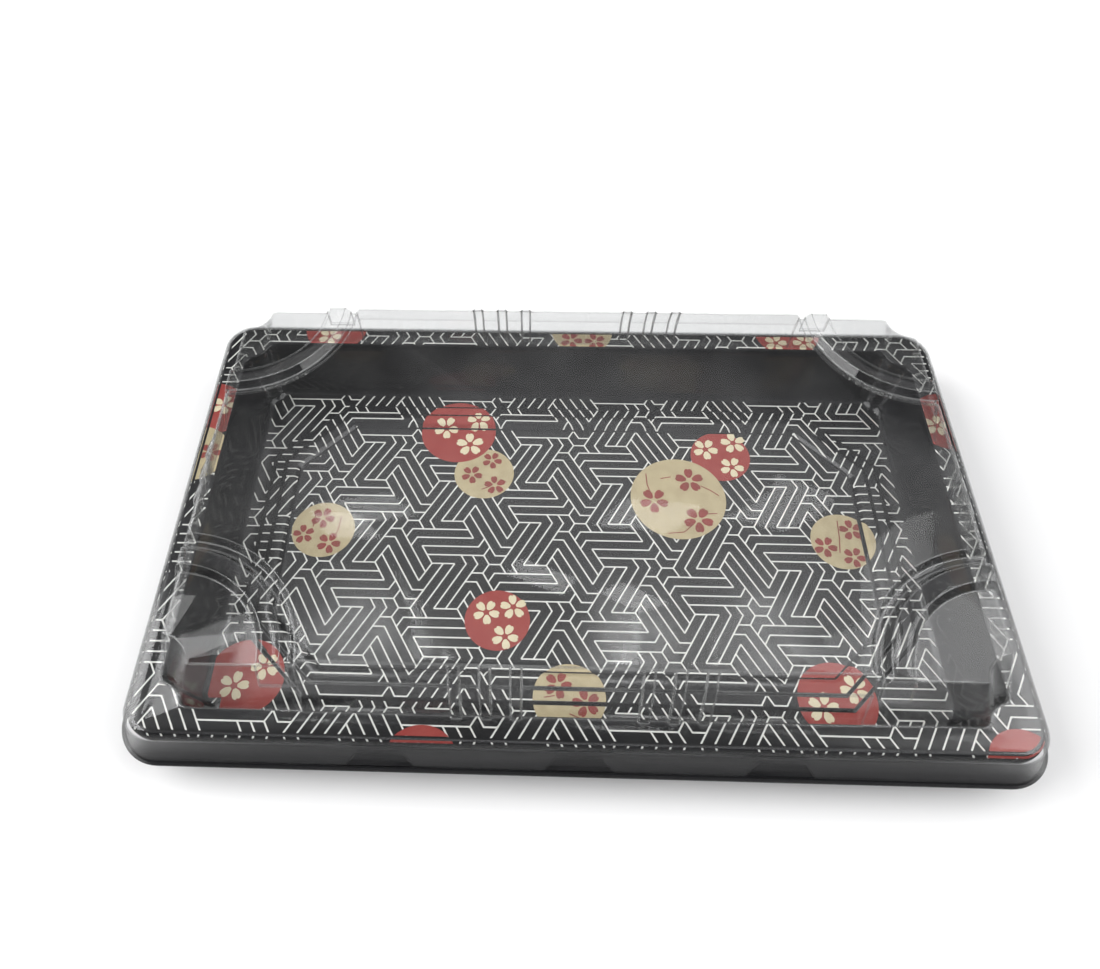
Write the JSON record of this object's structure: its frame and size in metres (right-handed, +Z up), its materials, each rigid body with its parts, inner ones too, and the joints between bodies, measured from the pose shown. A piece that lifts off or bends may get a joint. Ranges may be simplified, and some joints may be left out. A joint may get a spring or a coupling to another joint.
{
  "type": "takeaway sushi tray",
  "caption": "Rectangular takeaway sushi tray: shallow black formed tray with a printed pattern and a clear domed press-on lid, empty.",
  "frame": {"origin": "on the ground under the middle of the tray, lid included", "axes": "+X along the long side, +Y along the short side, +Z up through the lid"},
  "size_m": [0.2616, 0.1614, 0.0452],
  "materials": {
    "tray": "glossy black formed plastic sheet, printed with cream lines and red and cream discs",
    "lid": "clear glossy formed plastic sheet"
  },
  "bodies": {
    "root": {"tray": "tray", "lid": "lid"}
  },
  "joints": []
}
